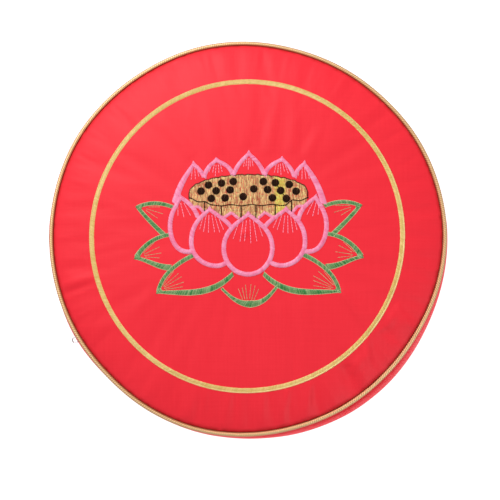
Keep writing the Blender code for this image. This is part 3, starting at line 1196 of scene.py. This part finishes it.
def sew_ring(cloth, material):
    """The ring, and a line of stitches on its outer edge with a painted highlight, brightest at the lower
    right.
    """
    needle = Needle(cloth, "gold_ring")
    centre = (RING_CENTRE[0] - FLOWER_SHIFT[0], RING_CENTRE[1] - FLOWER_SHIFT[1])
    edge_radius = RING_RADIUS + RING_WIDTH / 2 - RING_EDGE_WIDTH / 2
    full = []
    edge = []
    for step in range(RING_STEPS + 1):
        angle = 2 * pi * step / RING_STEPS
        full.append((*onward(centre, angle, RING_RADIUS), RING_WIDTH, 0.42 + 0.1 * sin(5 * angle + 1.0)))
        # Painted highlight: the edge's stitches are paler the more they face the lower right.
        shade = 0.45 + 0.5 * max(0.0, cos(angle - radians(LOW_SIDE_DEG)))
        edge.append((*onward(centre, angle, edge_radius), RING_EDGE_WIDTH, shade))
    needle.satin(full, streaky=CALM_STREAKS)
    needle.satin(edge, lift=RING_EDGE_LIFT, streaky=CALM_STREAKS)
    needle.finish(material, "gold_thread")


def sew_leaves(cloth, material, covered):
    """Green satin sides, each edged with a pale running thread, and pale veins."""
    needle = Needle(cloth, "green_leaves")
    hidden = behind(covered)
    for row in LEAF_STROKES:
        for side in BOTH_SIDES[:row[0]]:
            line = leaf_line(row, side)
            needle.satin(line, STITCH_SLANT_DEG * side, hidden, streaky=CALM_STREAKS, flecked=LEAF_FLECKS)
            for edge in BOTH_SIDES:
                needle.running(beside(line, edge), hidden=hidden, **LEAF_EDGE)
    for place, heading_deg in LEAF_TIPS:
        for side in BOTH_SIDES:
            tip = []
            for reach, width in LEAF_TIP_WIDTHS:
                x, y = onward(place, radians(heading_deg), reach)
                tip.append((side * x, y, width, LEAF_SHADE))
            needle.satin(tip, 0.0, lift=LEAF_TIP_LIFT, streaky=CALM_STREAKS, flecked=LEAF_FLECKS)
    sew_fans(needle, LEAF_VEIN)
    needle.finish(material, "green_thread")


def pod_round(x):
    """The pod's roundness at x: 1 in its middle, 0 at its ends."""
    return max(0.0, 1.0 - (x / POD_HALF_WIDTH) ** 2) ** 0.5


def pod_top(x):
    wave = POD_EDGE_WAVE * (sin(0.71 * x + 1.0) + 0.6 * sin(1.23 * x + 2.5))
    return POD_MIDDLE_Y + POD_BACK * pod_round(x) + wave


def pod_rim(x):
    drop = sum(depth * smooth_step((start - abs(x)) / length) for start, length, depth in POD_RIM_STEPS)
    return POD_RIM_END_Y - drop + POD_RIM_WAVE * sin(2 * pi * x / POD_RIM_WAVELENGTH + 0.6)


def pod_foot(x):
    return POD_RIM_END_Y - POD_WALL_SAG * pod_round(x)


def sew_pod(cloth, material, covered):
    """Fill the pod with upright stitches in uneven rows, down to the peaks that stand before it."""
    needle = Needle(cloth, "lotus_pod")
    draw = needle.draw
    peaks = [[start, tip, end, (tip[0], tip[1] - PEAK_DEPTH), start] for start, tip, end in peak_corners()]
    hidden = behind(covered + peaks)
    for column in range(1, int(2 * POD_HALF_WIDTH / POD_PITCH)):
        x = -POD_HALF_WIDTH + column * POD_PITCH
        y = pod_top(x)
        foot = pod_foot(x)
        length = POD_STITCH * draw.uniform(0.3, 1.0)
        while y - foot > POD_LEAST_STITCH:
            length = min(length, y - foot)
            while length > 1.0 and hidden(x, y - length):
                length -= 0.5
            if not hidden(x, y - length):
                tone = draw.uniform(-0.1, 1.1)
                start = (x + needle.uneven(POD_UNEVENNESS), y)
                end = (x + needle.uneven(POD_UNEVENNESS), y - length)
                needle.stitch(start, end, tone, POD_THREAD)
            y -= length
            length = POD_STITCH * draw.uniform(0.6, 1.2)
    needle.finish(material, "gold_thread")


def sew_petals(cloth, material, covered):
    """Pink satin outlines of the front petals, the back petals and the peaks, and the petals' veins."""
    needle = Needle(cloth, "pink_petals")
    for row in FRONT_PETALS:
        rank, tip, left_deg, right_deg = row[:4]
        hidden = behind([outline for other, outline in zip(FRONT_PETALS, covered) if other[0] < rank])
        up, down, foot_right, foot_left = front_sides(row)
        sides = (
            widened(up, OUTLINE_WIDTH, TIP_WIDTH, 3.0),
            widened(down, TIP_WIDTH, OUTLINE_WIDTH, 0.33),
            widened(foot_right + foot_left, OUTLINE_WIDTH, OUTLINE_WIDTH),
        )
        for side in sides:
            needle.satin(side, hidden=hidden, lift=FRONT_LIFT)
        needle.satin(tip_wedge(tip, left_deg, right_deg), 0.0, hidden, FRONT_TIP_LIFT)
    hidden = behind(covered)
    for tip, left_deg, right_deg, left, left_lean, right, right_lean, left_width, right_width in BACK_PETALS:
        up = bent_line(left, 90 - left_lean, tip, 90 - left_deg)
        down = bent_line(tip, right_deg - 90, right, right_lean - 90)
        needle.satin(widened(up, left_width, TIP_WIDTH, 2.0), hidden=hidden, lift=BACK_LIFT)
        needle.satin(widened(down, TIP_WIDTH, right_width, 0.5), hidden=hidden, lift=BACK_LIFT)
        needle.satin(tip_wedge(tip, left_deg, right_deg), 0.0, lift=BACK_TIP_LIFT)
    for corners in peak_corners():
        needle.satin(widened(corners, PEAK_WIDTH, PEAK_WIDTH), hidden=hidden, lift=BACK_LIFT)
    sew_fans(needle, PETAL_VEIN)
    needle.finish(material, "pink_thread")


def sew_dark(cloth, material, covered):
    """The pod's dark lines and its seeds, some of which a carried thread joins."""
    needle = Needle(cloth, "pod_lines_and_seeds")
    draw = needle.draw
    hidden = behind(covered)
    xs = [POD_HALF_WIDTH * (2.0 * step / POD_LINE_STEPS - 1.0) for step in range(POD_LINE_STEPS + 1)]
    needle.running([(x, pod_rim(x)) for x in xs], hidden=hidden, **POD_RIM_LINE)
    needle.running([(x, pod_top(x)) for x in xs], **POD_BACK_LINE)
    for x in (POD_HALF_WIDTH, -POD_HALF_WIDTH):
        needle.running([(x, POD_MIDDLE_Y), (x, POD_RIM_END_Y)], **POD_BACK_LINE)
    needle.running([SEEDS[seed] for seed in LINKED_SEEDS], **SEED_LINK)
    for x in POD_BARS_X:
        ends = ((x, pod_rim(x) - 0.3), (x, pod_foot(x)))
        needle.satin([(*end, POD_BAR_WIDTH, POD_BAR_SHADE) for end in ends], 0.0, hidden, BAR_AND_SEED_LIFT)
    radius = SEED_DIAMETER / 2
    threads = ceil(SEED_DIAMETER / THREAD_PITCH)
    for x, y in SEEDS:
        for thread in range(threads):
            across = radius * ((thread + 0.5) / threads * 2 - 1)
            half = (radius ** 2 - across ** 2) ** 0.5 + draw.uniform(-0.1, 0.35)
            end = (x + across + needle.uneven(SATIN_EDGE_UNEVENNESS), y + half)
            tone = draw.uniform(0.0, 0.5)
            needle.stitch((x + across, y - half), end, tone, THREAD_WIDTH, SEED_HEIGHT, BAR_AND_SEED_LIFT)
    needle.finish(material, "dark_thread")


def sew_everything(cover):
    shape = bmesh.new()
    shape.from_mesh(cover.data)
    cloth = BVHTree.FromBMesh(shape)
    shape.free()
    covered = [petal_outline(row) for row in FRONT_PETALS]
    sew_ring(cloth, make_thread_material("ring_thread", RING_DYE))
    sew_leaves(cloth, make_thread_material("leaf_thread", LEAF_DYE), covered)
    sew_pod(cloth, make_pod_material("pod_thread"), covered)
    sew_petals(cloth, make_thread_material("petal_thread", PETAL_DYE), covered)
    sew_dark(cloth, make_thread_material("seed_thread", SEED_DYE, roughness=0.7, gloss=0.1), covered)


# Camera, floor and light


def add_camera():
    tilt = radians(CAMERA_TILT_DEG)
    towards = radians(CAMERA_TOWARDS_DEG)
    lean = Vector((sin(tilt) * cos(towards), sin(tilt) * sin(towards), cos(tilt)))
    place = Vector(CAMERA_OVER) + lean * CAMERA_DISTANCE
    back = (place - Vector(CAMERA_AIM)).normalized()
    right = Vector((0.0, 1.0, 0.0)).cross(back).normalized()
    up = back.cross(right)
    data = bpy.data.cameras.new("camera")
    data.lens = CAMERA_LENS_MM
    data.sensor_width = CAMERA_SENSOR_MM
    camera = bpy.data.objects.new("camera", data)
    camera.matrix_world = Matrix.Translation(place * MM) @ Matrix((right, up, back)).transposed().to_4x4()
    bpy.context.scene.collection.objects.link(camera)
    bpy.context.scene.camera = camera


def add_floor():
    shape = bmesh.new()
    bmesh.ops.create_grid(shape, x_segments=1, y_segments=1, size=4.0)
    bmesh.ops.translate(shape, verts=shape.verts, vec=(0.0, 0.0, -0.0004))
    white = (1.0, 1.0, 1.0)
    paper = Graph("floor_paper")
    paper.finish(Base_Color=(0.3, 0.3, 0.3), Roughness=0.9, Emission_Color=white, Emission_Strength=1.0)
    add_object("floor", mesh_from(shape, "floor"), paper.material)


def add_lights():
    world = bpy.data.worlds.new("studio")
    world.use_nodes = True
    background = world.node_tree.nodes["Background"]
    background.inputs["Color"].default_value = (1.0, 1.0, 1.0, 1.0)
    background.inputs["Strength"].default_value = WORLD_LIGHT
    bpy.context.scene.world = world
    for name, place, size, power, gloss_only in LIGHTS:
        data = bpy.data.lights.new(name, "AREA")
        data.shape = "DISK"
        data.size = size
        data.energy = power
        light = bpy.data.objects.new(name, data)
        place = Vector(place)
        light.matrix_world = Matrix.Translation(place) @ place.to_track_quat("Z", "Y").to_matrix().to_4x4()
        light.visible_diffuse = not gloss_only
        bpy.context.scene.collection.objects.link(light)


def main():
    bpy.context.scene.view_settings.view_transform = "Standard"
    add_camera()
    add_floor()
    add_lights()
    panel = make_satin("panel_satin", (0.91, 0.028, 0.046), (0.85, 0.020, 0.035), 0.14)
    band = make_satin("band_satin", (0.94, 0.018, 0.038), (0.84, 0.012, 0.026), 0.04)
    cover = make_cover(panel, band)
    cord = make_cord_material("gold_cord_twist")
    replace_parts(make_piping("upper_cord", UPPER_RING, cord), "top_piping")
    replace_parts(make_piping("lower_cord", LOWER_RING, cord), "bottom_piping")
    make_pull(make_nickel("nickel_wire_worn"))
    sew_everything(cover)


main()
